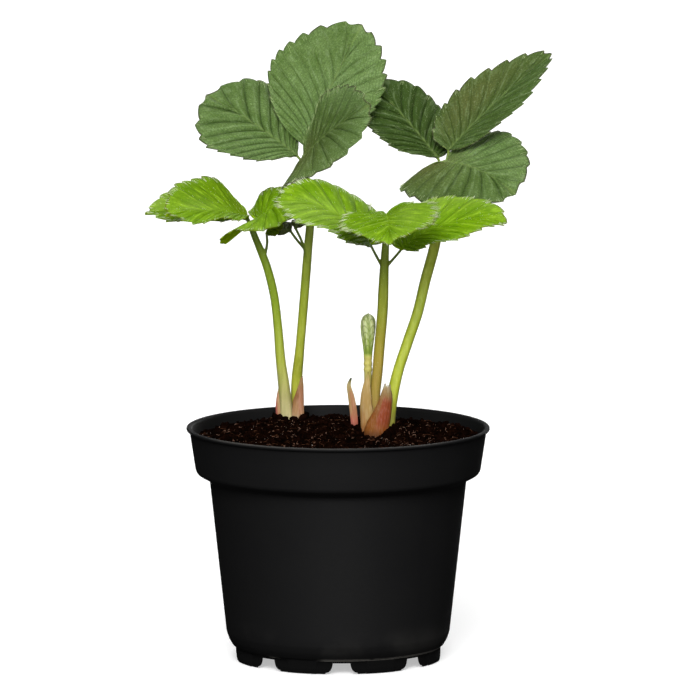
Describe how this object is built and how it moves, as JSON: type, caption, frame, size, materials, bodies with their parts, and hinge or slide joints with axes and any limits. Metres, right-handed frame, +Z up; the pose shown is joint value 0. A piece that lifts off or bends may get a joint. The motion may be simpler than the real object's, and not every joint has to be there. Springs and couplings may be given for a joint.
{
  "type": "potted strawberry plant",
  "caption": "Young strawberry plant with toothed three-part leaves on upright stalks, standing in peat in a round black nursery pot.",
  "frame": {"origin": "on the pot's axis, at the floor that the foot ring stands on", "axes": "+Z up along the pot's axis; X along the widest spread of the leaves; -Y toward the front, where the lowest leaf hangs"},
  "size_m": [0.1618, 0.1218, 0.2474],
  "materials": {
    "pot_plastic": "near-black moulded polypropylene, satin, finely grained",
    "peat": "dark brown moist peat compost with pale fibres and perlite dust",
    "crown": "brown woody crown top",
    "stalk": "yellow-green smooth stalk, cream at the foot",
    "dark_leaf": "matte dark green leaf with sunken veins and fine hairs",
    "bright_leaf": "bright yellow-green young leaf with paler veins and white hairs on the teeth",
    "bud": "pale folded young leaf, whitish down over green",
    "scale_red": "papery orange-red to pink stipule with a translucent tip",
    "scale_tan": "papery tan stipule with brown ribs"
  },
  "bodies": {
    "root": {"pot": "pot_plastic", "soil": "peat", "crown_left": "crown", "crown_right": "crown", "leaf_a_petiole": "stalk", "leaf_b_petiole": "stalk", "leaf_c_petiole": "stalk", "leaf_d_petiole": "stalk", "leaf_a_left": "dark_leaf", "leaf_a_middle": "dark_leaf", "leaf_a_right": "dark_leaf", "leaf_a_ear_left": "dark_leaf", "leaf_a_ear_right": "dark_leaf", "leaf_b_left": "bright_leaf", "leaf_b_middle": "bright_leaf", "leaf_b_right": "bright_leaf", "leaf_b_ear": "bright_leaf", "leaf_c_left": "bright_leaf", "leaf_c_middle": "bright_leaf", "leaf_c_right": "bright_leaf", "leaf_d_left": "dark_leaf", "leaf_d_middle": "dark_leaf", "leaf_d_right": "dark_leaf", "bud": "bud", "scale_front": "scale_red", "scale_tan": "scale_tan", "scale_small": "scale_red", "scale_rear_red": "scale_red", "scale_rear_tan": "scale_tan"}
  },
  "joints": []
}
